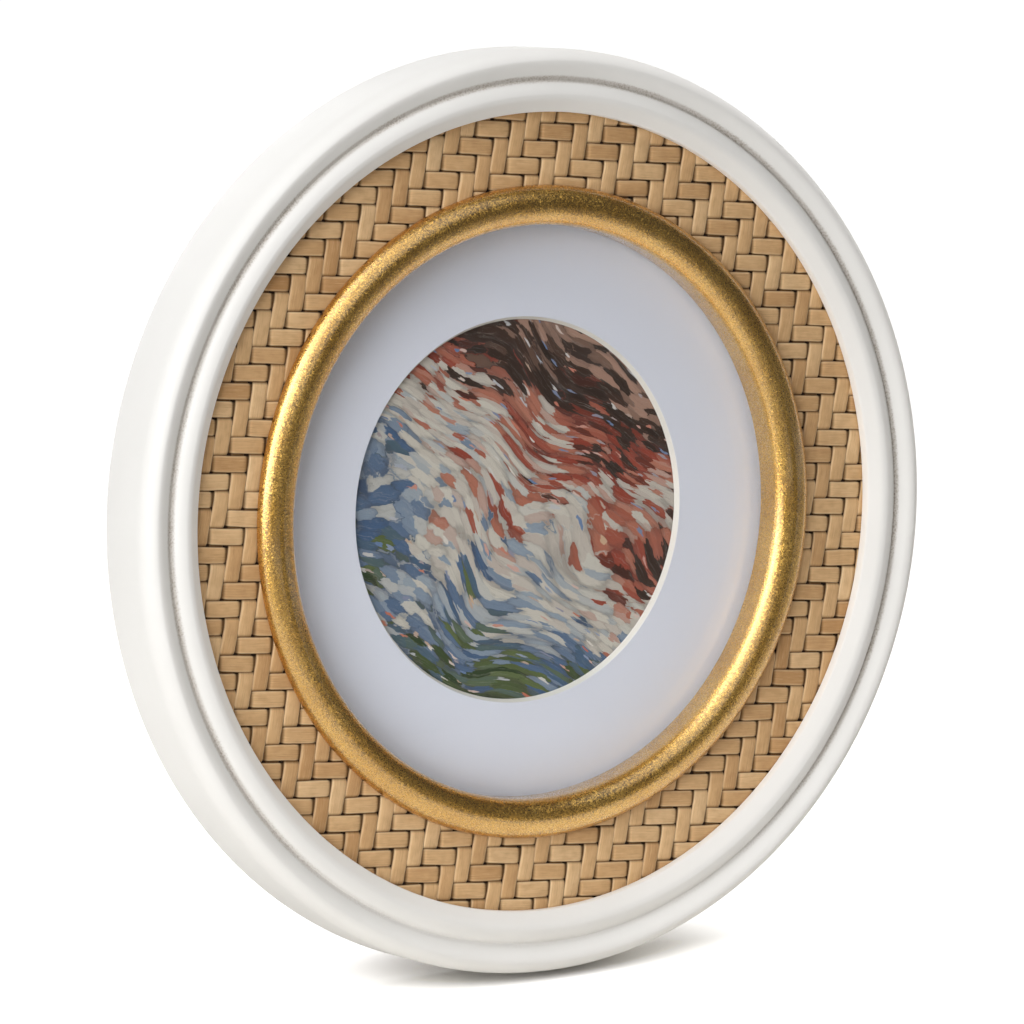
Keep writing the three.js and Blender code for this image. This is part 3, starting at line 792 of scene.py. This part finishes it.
def add_to_frame(name, shape, material, slot, *nodes):
    """A piece of the fixed frame, in the frame's own coordinates."""
    add_piece(name, shape, FRAME_PLACE, "frame", material, slot, *nodes)


# Front

def outer_radius():
    """The round rim's radius, from the width of the CAD rim."""
    low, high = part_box("outer_moulding")
    return (high.x - low.x) / 2 / MM


def soft_rise(share):
    """A straight climb that is eased over its last part, so that the crest stays just round."""
    ease = max(share - CREST_EASE, 0) / (1 - CREST_EASE)
    return share - CREST_DIP * ease * ease


def wave(foot, top, end, last_angle):
    """A wave of the moulding: a straight slope up to a crisp crest, then a round fall to its end."""
    run, climb = top[0] - foot[0], top[1] - foot[1]
    slope = [(foot[0] + run * share, foot[1] + climb * soft_rise(share)) for share in SLOPE_SHARES]
    turn = math.radians(last_angle)
    semi_x = (end[0] - top[0]) / math.cos(turn)
    semi_y = (top[1] - end[1]) / (1 - math.sin(turn))
    return slope + arc((top[0], top[1] - semi_y), semi_x, semi_y, 90 - CREST_TURN, last_angle)


def moulding_section():
    outer = outer_radius()
    bead = wave((LIP_RADIUS + LIP_ROUND / 2, ARRIS), (BEAD_CREST_RADIUS, BEAD_CREST),
                (GROOVE_RADIUS, GROOVE_HEIGHT), GROOVE_ANGLE)
    nose = wave((NOSE_START_RADIUS, GROOVE_HEIGHT), (NOSE_CREST_RADIUS, NOSE_CREST), (outer, SHOULDER), 0)
    return [
        (RABBET_RADIUS, 0),
        (RABBET_RADIUS, OVERLAY_BACK),
        *rounded((LIP_RADIUS, OVERLAY_BACK), LIP_ROUND, 270, 180),
        (LIP_RADIUS, ARRIS - LIP_ROUND),
        *bead,
        *nose,
        *rounded((outer, 0), REAR_ROUND, 360, 270),
    ]


def gold_section():
    middle = ((SIGHT_RADIUS + GOLD_RADIUS) / 2, OVERLAY_BACK)
    return [
        *arc(middle, (GOLD_RADIUS - SIGHT_RADIUS) / 2, GOLD_CREST - OVERLAY_BACK, 0, 180, 3 * ARC_STEPS),
        *rounded((SIGHT_RADIUS, SLEEVE_BACK), LIP_ROUND, 180, 270),
        (PICTURE_RADIUS, SLEEVE_BACK),
        (PICTURE_RADIUS, OVERLAY_BACK),
    ]


def mat_section():
    front = MAT_BACK + MAT_THICKNESS
    return [
        (WINDOW_RADIUS, MAT_BACK),
        (WINDOW_RADIUS + MAT_BEVEL, front),
        (PICTURE_RADIUS, front),
        (PICTURE_RADIUS, MAT_BACK),
    ]


def slab_section(inner, outer, back, thickness, edge=0.0):
    """The section of a flat ring or disc."""
    front = back + thickness
    if not edge:
        return [(inner, back), (inner, front), (outer, front), (outer, back)]
    return [
        *rounded((inner, back), edge, 270, 180),
        *rounded((inner, front), edge, 180, 90),
        *rounded((outer, front), edge, 90, 0),
        *rounded((outer, back), edge, 360, 270),
    ]


def strip_spans(offset):
    """The stretches of a strip, by its distance from the centre, that lie in the band."""
    outside = math.sqrt(max(WEAVE_OUTSIDE ** 2 - offset ** 2, 0))
    inside = math.sqrt(max(WEAVE_INSIDE ** 2 - offset ** 2, 0))
    if not outside:
        return []
    if not inside:
        return [(-outside, outside)]
    return [(-outside, -inside), (inside, outside)]


def strip_stations(start, end, cell, phase):
    """Where a strip gets its cross-sections: close together in its dives, further apart on its floats."""
    dive = [TURN_DOWN * share for share in DIVE_SHARES]
    steps = [-0.5, 0, 0.5, *(1 + d for d in dive), 1.5, 2, 2.5, *(3 + d for d in dive)]
    first = math.floor((start / cell - phase) / TWILL_REPEAT) - 1
    last = math.ceil((end / cell - phase) / TWILL_REPEAT) + 1
    places = [(phase + TWILL_REPEAT * n + s) * cell for n in range(first, last) for s in steps]
    inner = [p for p in sorted(places) if start + STATION_MARGIN < p < end - STATION_MARGIN]
    return [start, *inner, end]


def strip_profile():
    """A strip's cross-section: (share of its half width, drop below its top), top side first."""
    top = [(share, EDGE_DROP * abs(share) ** 5) for share in TOP_SHARES]
    return top + [(UNDER_SHARE, STRIP_THICKNESS), (-UNDER_SHARE, STRIP_THICKNESS)]


def waver(along, name, pace, step, layer):
    """A smooth change along a strip, another one for each strip."""
    return noise.noise((along * pace, name * step, layer))


def strip_rise(from_float):
    """1 on a strip's float, 0 where it lies under, by the distance from the float's middle in cells."""
    return smoothed((1 + TURN_DOWN - abs(from_float)) / (2 * TURN_DOWN))


def strip_section(along, from_float, half, name, upright):
    """A strip's cross-section at a place along it: (share of its half width, sideways, height)."""
    over = strip_rise(from_float)
    top = UNDER_TOP + (FLOAT_TOP - UNDER_TOP) * over - FLOAT_BULGE * over * from_float ** 2
    shift = STRIP_WANDER * waver(along, name, *WANDER_NOISE)
    if upright:
        shift += UPRIGHT_SKEW * math.sin(from_float * math.pi / 2)
    width = 1 + STRIP_SWELL * waver(along, name, *SWELL_NOISE) - DIVE_PINCH * (1 - over)
    tilt = STRIP_TILT * waver(along, name, *TILT_NOISE) * over
    return [(share, shift + share * half * width, top - drop - tilt * (1 + share))
            for share, drop in strip_profile()]


def woven_place(along, sideways, height, upright):
    """A point of a strip in the frame's coordinates, with the whole weave turned a little."""
    p, q = (sideways, along) if upright else (along, sideways)
    turn_cos, turn_sin = math.cos(WEAVE_TURN), math.sin(WEAVE_TURN)
    return p * turn_cos + q * turn_sin, -height, q * turn_cos - p * turn_sin


def add_strip(weave, index, upright, draw):
    """One strip of the weave: a closed ribbon for each of its stretches, with a tone for each float."""
    pitch, cell = (WARP_PITCH, WEFT_PITCH) if upright else (WEFT_PITCH, WARP_PITCH)
    middle, half = (index + 0.5) * pitch, (pitch - STRIP_GAP) / 2
    phase = index if upright else index + TWILL_REPEAT - 1
    name = 2 * index + upright
    strip_tone = draw.uniform(*STRIP_TONES)
    tones = {}
    for start, end in strip_spans(middle):
        first = len(weave["verts"])
        stations = strip_stations(start, end, cell, phase)
        for along in stations:
            cells = along / cell - phase
            period = math.floor((cells + 2) / TWILL_REPEAT)
            from_float = cells - TWILL_REPEAT * period
            if period not in tones:
                tones[period] = min(max(strip_tone + draw.uniform(*FLOAT_TONES), 0), 1)
            for share, sideways, height in strip_section(along, from_float, half, name, upright):
                weave["verts"].append(woven_place(along, middle + sideways, height, upright))
                weave["strip"].append((along, share, name))
                weave["tone"].append(tones[period])
                weave["rise"].append(strip_rise(from_float))
        add_ribbon(weave["faces"], first, len(stations), len(strip_profile()))


def weave_mesh():
    """All strips of the band, with their own coordinates and tones for the material."""
    draw = random.Random(WEAVE_SEED)
    reach = math.ceil(WEAVE_OUTSIDE / WEFT_PITCH)
    weave = {"verts": [], "faces": [], "strip": [], "tone": [], "rise": []}
    for upright in (True, False):
        for index in range(-reach, reach):
            add_strip(weave, index, upright, draw)
    return finish_weave(weave)


def add_ribbon(faces, start, rings, count):
    """The faces of one closed ribbon, whose vertices are rings of cross-sections."""
    for ring in range(rings - 1):
        here, there = start + ring * count, start + (ring + 1) * count
        for i in range(count):
            j = (i + 1) % count
            faces.append((here + i, here + j, there + j, there + i))
    last = start + (rings - 1) * count
    faces.append(tuple(range(start, start + count)))
    faces.append(tuple(range(last + count - 1, last - 1, -1)))


def finish_weave(weave):
    """Makes the mesh of the weave and hands its measures to the material."""
    mesh = bpy.data.meshes.new("woven_rattan")
    mesh.from_pydata([Vector(v) * MM for v in weave["verts"]], [], weave["faces"])
    shape = bmesh.new()
    shape.from_mesh(mesh)
    bmesh.ops.recalc_face_normals(shape, faces=shape.faces)
    shape.to_mesh(mesh)
    shape.free()
    strip = mesh.attributes.new("strip", "FLOAT_VECTOR", "POINT")
    strip.data.foreach_set("vector", [value for place in weave["strip"] for value in place])
    for name in ("tone", "rise"):
        mesh.attributes.new(name, "FLOAT", "POINT").data.foreach_set("value", weave[name])
    return mesh


def build_front():
    moulding = turned(moulding_section())
    add_to_frame("white_moulding", moulding, white_paint(), "white_moulding", "outer_moulding")
    add_to_frame("gold_ring", turned(gold_section()), gold_leaf(), "gilded_bead", "gold_bead")
    cane = split_cane()
    add_mesh("woven_rattan", weave_mesh(), FRAME_PLACE, "frame", cane, "rattan", "woven_rattan_panel")
    # Painted shade: a near-black sheet behind the weave, seen through its gaps.
    ground = turned(slab_section(BORE_RADIUS, RABBET_RADIUS - FIT, SHEET_BACK, FIT))
    add_to_frame("weave_ground", ground, gap_shade_sheet(), "rattan", "woven_rattan_panel")


def build_picture():
    add_to_frame("mat", turned(mat_section()), mat_paper(), "mat", "mat_board")
    sheet = turned(slab_section(0, PICTURE_RADIUS, PRINT_BACK, PRINT_THICKNESS))
    add_to_frame("print_sheet", sheet, painted_print(), "print", "picture_print")
    dress("glass", window_glass())
    dress("filler_card", grey_card())


def dress(node, material):
    """Gives a CAD node that stays its material."""
    slots = frame["nodes"][node].data.materials
    slots.clear()
    slots.append(material)


# Back

def backing_outline():
    """The round backing board with its finger notch at the top."""
    spread = 2 * math.degrees(math.asin(NOTCH_RADIUS / 2 / PICTURE_RADIUS))
    board = arc((0, 0), PICTURE_RADIUS, PICTURE_RADIUS, 90 + spread, 450 - spread, RING_SEGMENTS // 2)
    dip = 90 + spread / 2
    notch = arc((0, PICTURE_RADIUS), NOTCH_RADIUS, NOTCH_RADIUS, 90 - dip, -90 - dip, 2 * ARC_STEPS)
    return board + notch[1:-1]


def build_boards():
    core = turned(slab_section(BORE_RADIUS, RABBET_RADIUS - FIT, 0, CORE_THICKNESS, BOARD_ROUND))
    add_to_frame("fibre_core", core, fibreboard(), "fibreboard", "core_ring")
    board = plate(backing_outline(), BACKING_BACK, BACKING_THICKNESS, BOARD_ROUND)
    add_to_frame("back_board", board, black_paper(), "black_board", "backing_board")


def build_buttons(steel):
    end = BUTTON_WIDTH / 2
    outline = arc((0, 0), end, end, 90, 270) + arc((BUTTON_REACH - end, 0), end, end, -90, 90)
    for index in range(BUTTON_COUNT):
        number = index + 1
        angle = 2 * math.pi * (index + 0.5) / BUTTON_COUNT
        x, z = BUTTON_RADIUS * math.cos(angle), BUTTON_RADIUS * math.sin(angle)
        tab = plate(outline, -FIT - BUTTON_THICKNESS, BUTTON_THICKNESS)
        place = FRAME_PLACE @ moved(x, 0, z) @ Matrix.Rotation(-angle - math.pi, 4, "Y")
        body = f"button_{number}"
        add_piece(f"button_{number}", tab, place, body, steel, "steel", f"turn_button_{number}")
        turn = Matrix.Rotation(SCREW_TURN * index, 4, "Y")
        seat = FRAME_PLACE @ moved(x, BUTTON_THICKNESS + 2 * FIT, z) @ turn
        add_piece(f"button_screw_{number}", fastener(**SCREW), seat, "frame", steel, "steel",
                  f"turn_button_screw_{number}")


def hanger_outline():
    half, lower, upper = HANGER_WIDTH / 2, HANGER_Z - HANGER_HEIGHT / 2, HANGER_Z + HANGER_HEIGHT / 2
    toothed = half - HANGER_FOOT - HANGER_BEND - TOOTH_PITCH / 2
    teeth = math.floor(2 * toothed / TOOTH_PITCH)
    points = [(half, lower), (half, upper), (-half, upper), (-half, lower)]
    tooth = TOOTH_PITCH / 3
    for i in range(teeth):
        middle = (i - (teeth - 1) / 2) * TOOTH_PITCH
        points += [(middle - tooth, lower), (middle, lower + TOOTH_DEPTH), (middle + tooth, lower)]
    return points


def hanger_shape():
    """A plate with teeth along its lower edge, bent so that its middle stands off the back."""
    shape = plate(hanger_outline(), -FIT - HANGER_THICKNESS, HANGER_THICKNESS, PLATE_ROUND / 2)
    foot = HANGER_WIDTH / 2 - HANGER_FOOT
    for side in (-1, 1):
        for share in BEND_CUTS:
            bend = (side * (foot - share * HANGER_BEND), 0, 0)
            bmesh.ops.bisect_plane(shape, geom=all_of(shape), plane_co=bend, plane_no=(1, 0, 0))
    for vert in shape.verts:
        vert.co.y += HANGER_STEP * smoothed((foot - abs(vert.co.x)) / HANGER_BEND)
    return shape


def build_hanger(steel):
    add_to_frame("hanger", hanger_shape(), steel, "steel", "sawtooth_hanger")
    for number, side in ((1, -1), (2, 1)):
        x = side * (HANGER_WIDTH - HANGER_FOOT) / 2
        seat = FRAME_PLACE @ moved(x, HANGER_THICKNESS + 2 * FIT, HANGER_Z)
        node = f"hanger_nail_{number}"
        add_piece(f"nail_{number}", fastener(**NAIL), seat, "frame", steel, "steel", node)


def fixed_leaf_shape():
    half, slot = HINGE_WIDTH / 2, MIDDLE_KNUCKLE / 2 + FIT
    outline = [
        (-half, 0), (-slot, 0), (-slot, KNUCKLE_ROOM), (slot, KNUCKLE_ROOM), (slot, 0), (half, 0),
        *rounded((half, FIXED_LEAF_LENGTH), LEAF_CORNER, 0, 90),
        *rounded((-half, FIXED_LEAF_LENGTH), LEAF_CORNER, 90, 180),
    ]
    length = (HINGE_WIDTH - MIDDLE_KNUCKLE) / 2 - FIT
    middle = (HINGE_WIDTH - length) / 2
    leaf = plate(outline, LEAF_INSIDE, LEAF_THICKNESS)
    return joined(leaf, rod(BARREL_RADIUS, length, -middle), rod(BARREL_RADIUS, length, middle))


def moving_leaf_shape():
    half, tab = HINGE_WIDTH / 2, MIDDLE_KNUCKLE / 2
    stop = (LEAF_INSIDE * math.cos(LEG_OPENING) + LEAF_INSIDE - FIT) / math.sin(LEG_OPENING)
    outline = [
        *rounded((-half, -MOVING_LEAF_LENGTH), LEAF_CORNER, 180, 270),
        *rounded((half, -MOVING_LEAF_LENGTH), LEAF_CORNER, 270, 360),
        (half, -KNUCKLE_ROOM), (tab, -KNUCKLE_ROOM), (tab, stop), (-tab, stop), (-tab, -KNUCKLE_ROOM),
        (-half, -KNUCKLE_ROOM),
    ]
    return joined(plate(outline, -BARREL_RADIUS, LEAF_THICKNESS), rod(BARREL_RADIUS, MIDDLE_KNUCKLE, 0))


def leg_length():
    """The leg's length from the hinge to the table, when the frame leans and the leg is open."""
    drop = FRAME_PLACE.translation.z / MM / math.cos(LEAN)
    return ((HINGE_HEIGHT + drop - HINGE_BACK * math.tan(LEAN))
            / (math.cos(LEG_OPENING) + math.sin(LEG_OPENING) * math.tan(LEAN)))


def leg_shape():
    """The leg widens to its foot, which is cut to lie flat on the table when the leg is open."""
    length = leg_length()
    top, foot = LEG_TOP_WIDTH / 2, LEG_FOOT_WIDTH / 2
    inset, level, fall = foot - LEG_CORNER, LEG_CORNER - length, LEG_CORNER + LEG_THICKNESS
    outline = [
        *rounded((-top, -KNUCKLE_ROOM), LEG_TOP_CORNER, 90, 180),
        *arc((-inset, level), LEG_CORNER, fall, 180, 270),
        *arc((inset, level), LEG_CORNER, fall, 270, 360),
        *rounded((top, -KNUCKLE_ROOM), LEG_TOP_CORNER, 0, 90),
    ]
    shape = plate(outline, FIT - LEAF_INSIDE, LEG_THICKNESS, BOARD_ROUND)
    table_tilt = LEG_OPENING - LEAN
    down = (0, math.sin(table_tilt), -math.cos(table_tilt))
    cut = bmesh.ops.bisect_plane(shape, geom=all_of(shape), plane_co=(0, 0, -length), plane_no=down,
                                 clear_outer=True)
    edges = [e for e in cut["geom_cut"] if isinstance(e, bmesh.types.BMEdge)]
    bmesh.ops.contextual_create(shape, geom=edges)
    return shape


def build_easel(steel):
    pin = rod(PIN_RADIUS, HINGE_WIDTH, 0)
    for name, shape, place, body, node in (
            ("hinge_leaf_on_board", fixed_leaf_shape(), HINGE_PLACE, "frame", "hinge_fixed_leaf"),
            ("pin_of_hinge", pin, HINGE_PLACE, "frame", "hinge_pin"),
            ("hinge_leaf_on_leg", moving_leaf_shape(), EASEL_PLACE, "easel", "hinge_moving_leaf")):
        add_piece(name, shape, place, body, steel, "steel", node)
    add_piece("leg", leg_shape(), EASEL_PLACE, "easel", black_paper(), "black_board", "easel_leg")
    through_board = LEAF_THICKNESS + BACKING_THICKNESS + 2 * FIT
    through_leg = LEAF_THICKNESS + LEG_THICKNESS + 2 * FIT
    for number, side in ((1, -1), (2, 1)):
        x = side * RIVET_SPACING / 2
        on_board = HINGE_PLACE @ moved(x, FIT - LEAF_INSIDE, FIXED_LEAF_LENGTH - RIVET_EDGE)
        add_piece(f"rivet_on_board_{number}", fastener(length=through_board, **RIVET), on_board, "frame",
                  steel, "steel", f"board_rivet_{number}")
        on_leg = EASEL_PLACE @ moved(x, BARREL_RADIUS + FIT, RIVET_EDGE - MOVING_LEAF_LENGTH)
        add_piece(f"rivet_on_leg_{number}", fastener(length=through_leg, **RIVET), on_leg, "easel",
                  steel, "steel", f"leg_rivet_{number}")


def build_back():
    steel = zinc_steel()
    build_boards()
    build_buttons(steel)
    build_hanger(steel)
    build_easel(steel)


# Stage

def seen_directly(tree, mirrored_share=1.0):
    """1 for rays from the camera, a share for those that metal or glass passes on, and 0 for light."""
    path = add(tree, "LightPath").outputs
    passed_on = calc(tree, "ADD", path["Is Glossy Ray"], path["Is Transmission Ray"])
    passed_on = calc(tree, "MULTIPLY", calc(tree, "MINIMUM", passed_on, 1.0), mirrored_share)
    return calc(tree, "MAXIMUM", path["Is Camera Ray"], passed_on)


def add_staged(name, shape, material):
    """A thing of the stage, which is no piece of the frame."""
    mesh = bpy.data.meshes.new(name)
    shape.to_mesh(mesh)
    shape.free()
    mesh.materials.append(material)
    staged = new_object(name, mesh)
    return staged


def floor_white():
    """Pale cloth, lifted to white where it is seen, that keeps the shadow at the frame's foot."""
    material, tree = bare_material("floor_white")
    place = local_place(tree)
    far = remap(tree, vector_calc(tree, "LENGTH", place), *TABLE_FADE, 0, 1)
    table = add(tree, "BsdfDiffuse", {"Color": mix(tree, far, NEAR_CLOTH, FAR_CLOTH)})
    towards = vector_calc(tree, "NORMALIZE", CONTACT_LIGHT)
    nearby = {"Distance": CONTACT_REACH, "Normal": towards}
    open_share = add(tree, "AmbientOcclusion", nearby, samples=CONTACT_SAMPLES).outputs["AO"]
    leftwards = vector_calc(tree, "DOT_PRODUCT", place, MIRRORED_WAY)
    seen = seen_directly(tree, remap(tree, leftwards, *MIRRORED_REACH, *MIRRORED_LIFT))
    lift = calc(tree, "MULTIPLY", seen, remap(tree, open_share, *CONTACT_RAMP, 0, 1))
    glow = add(tree, "Emission", {"Color": WHITE, "Strength": lift})
    surface(tree, add(tree, "AddShader", {0: table.outputs[0], 1: glow.outputs[0]}))
    return material


def build_floor():
    shape = bmesh.new()
    bmesh.ops.create_grid(shape, x_segments=1, y_segments=1, size=FLOOR_SIDE / 2)
    add_staged("floor", shape, floor_white())


def build_sky():
    """A white world where it is seen or mirrored, which gives the object only a little light."""
    world = bpy.data.worlds.new("sky")
    bpy.context.scene.world = world
    world.use_nodes = True
    tree = world.node_tree
    background = tree.nodes["Background"]
    background.inputs["Color"].default_value = WHITE
    strength = remap(tree, seen_directly(tree), 0, 1, SKY_STRENGTH, 1)
    tree.links.new(strength, background.inputs["Strength"])


def studio_light():
    """The dim glow of the studio and its soft spots."""
    material, tree = bare_material("studio_light")
    outwards = vector_calc(tree, "NORMALIZE", local_place(tree))
    strength = STUDIO_GLOW
    for azimuth, elevation, level, full, gone in SPOTS.values():
        nearness = vector_calc(tree, "DOT_PRODUCT", outwards, direction_to(azimuth, elevation))
        edge, core = math.cos(math.radians(gone)), math.cos(math.radians(full))
        strength = calc(tree, "ADD", remap(tree, nearness, edge, core, 0, level), strength)
    surface(tree, add(tree, "Emission", {"Color": WHITE, "Strength": strength}))
    return material


def build_studio():
    """A dome over the front that only metal and gloss mirror."""
    shape = bmesh.new()
    bmesh.ops.create_icosphere(shape, subdivisions=STUDIO_FINENESS, radius=STUDIO_RADIUS)
    bare = [v for v in shape.verts if v.co.z < 0 or v.co.y > STUDIO_REAR]
    bmesh.ops.delete(shape, geom=bare, context="VERTS")
    studio = add_staged("studio", shape, studio_light())
    for kind in ("camera", "diffuse", "shadow", "transmission", "volume_scatter"):
        setattr(studio, "visible_" + kind, False)


def direction_to(azimuth, elevation):
    """The way from the object to a place round it, in degrees; azimuth 0 is in front."""
    round_it, up = math.radians(azimuth), math.radians(elevation)
    return Vector((math.sin(round_it) * math.cos(up), -math.cos(round_it) * math.cos(up), math.sin(up)))


def add_lamp(name, azimuth, elevation, distance, size, power, tint):
    data = bpy.data.lights.new(name, "AREA")
    data.shape = "SQUARE"
    data.size = size
    data.energy = power
    data.color = tint
    lamp = new_object(name, data)
    away = direction_to(azimuth, elevation)
    lamp.matrix_world = (Matrix.Translation(FRAME_PLACE.translation + away * distance)
                         @ away.to_track_quat("Z", "Y").to_matrix().to_4x4())
    lamp.visible_glossy = name in MIRRORED_LAMPS


def build_light():
    build_sky()
    build_studio()
    for name, settings in LAMPS.items():
        add_lamp(name, *settings)


def build_camera():
    data = bpy.data.cameras.new("camera")
    data.sensor_width = SENSOR
    data.lens = PIXELS_PER_MM * VIEW_DISTANCE / IMAGE_SIDE * SENSOR
    camera = new_object("camera", data)
    bpy.context.scene.camera = camera
    away = direction_to(VIEW_AZIMUTH, VIEW_ELEVATION)
    facing = away.to_track_quat("Z", "Y").to_matrix() @ Matrix.Rotation(VIEW_ROLL, 3, "Z")
    target = FRAME_PLACE @ Vector((0, -ARRIS * MM, 0))
    right = (LIP_CENTRE_PIXEL[0] - IMAGE_SIDE / 2) / PIXELS_PER_MM
    down = (LIP_CENTRE_PIXEL[1] - IMAGE_SIDE / 2) / PIXELS_PER_MM
    offset = facing @ Vector((-right, down, VIEW_DISTANCE)) * MM
    camera.matrix_world = Matrix.Translation(target + offset) @ facing.to_4x4()


build_front()
build_picture()
build_back()
build_floor()
build_light()
build_camera()
bpy.context.scene.view_settings.view_transform = "Standard"
